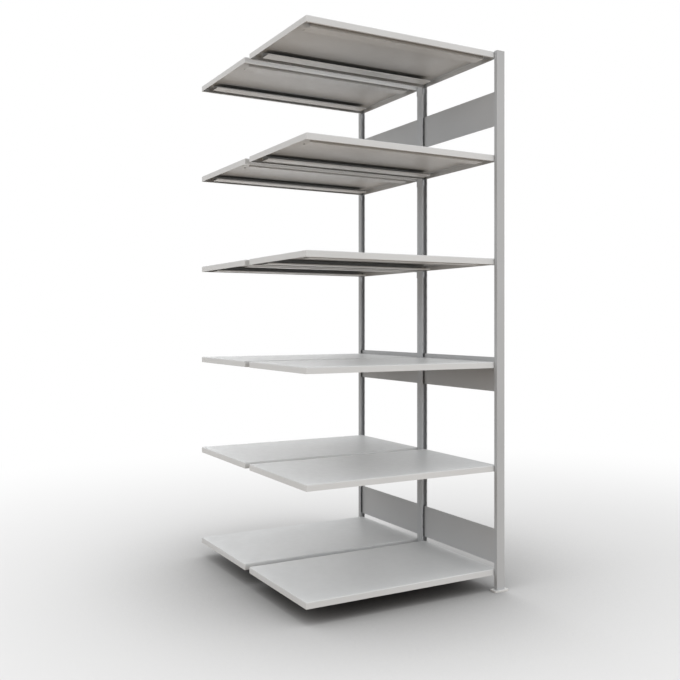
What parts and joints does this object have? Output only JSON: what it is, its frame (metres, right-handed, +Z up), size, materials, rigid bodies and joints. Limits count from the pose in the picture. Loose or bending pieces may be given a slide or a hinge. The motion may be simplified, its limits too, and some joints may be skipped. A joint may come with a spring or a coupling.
{
  "type": "double-sided boltless shelving bay",
  "caption": "Add-on bay of double-sided boltless shelving: paired sheet-metal tray shelves clipped into one slotted end frame with brace panels, free ends for the next frame.",
  "frame": {"origin": "on the floor, under the middle of the bay's bounding box", "axes": "+Z up; +X along the shelves, from their free ends to the end frame; +Y from the front shelves to the rear shelves"},
  "size_m": [1.0384, 1.29, 2.5],
  "materials": {
    "shelf_paint": "light grey powder coat, satin",
    "post_paint": "light grey powder coat, satin",
    "brace_paint": "light grey powder coat, satin",
    "clip_zinc": "bright zinc-plated steel",
    "foot_plastic": "light grey moulded plastic"
  },
  "bodies": {
    "end_frame": {"post_front": "post_paint", "post_middle_front": "post_paint", "post_middle_rear": "post_paint", "post_rear": "post_paint", "cover_front": "post_paint", "brace_bottom_front": "brace_paint", "brace_bottom_rear": "brace_paint", "brace_middle_front": "brace_paint", "brace_middle_rear": "brace_paint", "brace_top_front": "brace_paint", "brace_top_rear": "brace_paint", "foot_front": "foot_plastic", "foot_middle": "foot_plastic", "foot_rear": "foot_plastic", "clip_front_1": "clip_zinc", "clip_middle_front_1": "clip_zinc", "clip_middle_rear_1": "clip_zinc", "clip_rear_1": "clip_zinc", "clip_front_2": "clip_zinc", "clip_middle_front_2": "clip_zinc", "clip_middle_rear_2": "clip_zinc", "clip_rear_2": "clip_zinc", "clip_front_3": "clip_zinc", "clip_middle_front_3": "clip_zinc", "clip_middle_rear_3": "clip_zinc", "clip_rear_3": "clip_zinc", "clip_front_4": "clip_zinc", "clip_middle_front_4": "clip_zinc", "clip_middle_rear_4": "clip_zinc", "clip_rear_4": "clip_zinc", "clip_front_5": "clip_zinc", "clip_middle_front_5": "clip_zinc", "clip_middle_rear_5": "clip_zinc", "clip_rear_5": "clip_zinc", "clip_front_6": "clip_zinc", "clip_middle_front_6": "clip_zinc", "clip_middle_rear_6": "clip_zinc", "clip_rear_6": "clip_zinc"},
    "shelf_front_1": {"shelf_front_1": "shelf_paint"},
    "shelf_rear_1": {"shelf_rear_1": "shelf_paint"},
    "shelf_front_2": {"shelf_front_2": "shelf_paint"},
    "shelf_rear_2": {"shelf_rear_2": "shelf_paint"},
    "shelf_front_3": {"shelf_front_3": "shelf_paint"},
    "shelf_rear_3": {"shelf_rear_3": "shelf_paint"},
    "shelf_front_4": {"shelf_front_4": "shelf_paint"},
    "shelf_rear_4": {"shelf_rear_4": "shelf_paint"},
    "shelf_front_5": {"shelf_front_5": "shelf_paint"},
    "shelf_rear_5": {"shelf_rear_5": "shelf_paint"},
    "shelf_front_6": {"shelf_front_6": "shelf_paint"},
    "shelf_rear_6": {"shelf_rear_6": "shelf_paint"}
  },
  "joints": [
    {"name": "shelf_front_1_lift", "type": "slide", "parent": "end_frame", "child": "shelf_front_1", "axis": [0, 0, 1], "range_m": [0, 0.06]},
    {"name": "shelf_rear_1_lift", "type": "slide", "parent": "end_frame", "child": "shelf_rear_1", "axis": [0, 0, 1], "range_m": [0, 0.06]},
    {"name": "shelf_front_2_lift", "type": "slide", "parent": "end_frame", "child": "shelf_front_2", "axis": [0, 0, 1], "range_m": [0, 0.06]},
    {"name": "shelf_rear_2_lift", "type": "slide", "parent": "end_frame", "child": "shelf_rear_2", "axis": [0, 0, 1], "range_m": [0, 0.06]},
    {"name": "shelf_front_3_lift", "type": "slide", "parent": "end_frame", "child": "shelf_front_3", "axis": [0, 0, 1], "range_m": [0, 0.06]},
    {"name": "shelf_rear_3_lift", "type": "slide", "parent": "end_frame", "child": "shelf_rear_3", "axis": [0, 0, 1], "range_m": [0, 0.06]},
    {"name": "shelf_front_4_lift", "type": "slide", "parent": "end_frame", "child": "shelf_front_4", "axis": [0, 0, 1], "range_m": [0, 0.06]},
    {"name": "shelf_rear_4_lift", "type": "slide", "parent": "end_frame", "child": "shelf_rear_4", "axis": [0, 0, 1], "range_m": [0, 0.06]},
    {"name": "shelf_front_5_lift", "type": "slide", "parent": "end_frame", "child": "shelf_front_5", "axis": [0, 0, 1], "range_m": [0, 0.06]},
    {"name": "shelf_rear_5_lift", "type": "slide", "parent": "end_frame", "child": "shelf_rear_5", "axis": [0, 0, 1], "range_m": [0, 0.06]},
    {"name": "shelf_front_6_lift", "type": "slide", "parent": "end_frame", "child": "shelf_front_6", "axis": [0, 0, 1], "range_m": [0, 0.06]},
    {"name": "shelf_rear_6_lift", "type": "slide", "parent": "end_frame", "child": "shelf_rear_6", "axis": [0, 0, 1], "range_m": [0, 0.06]}
  ]
}
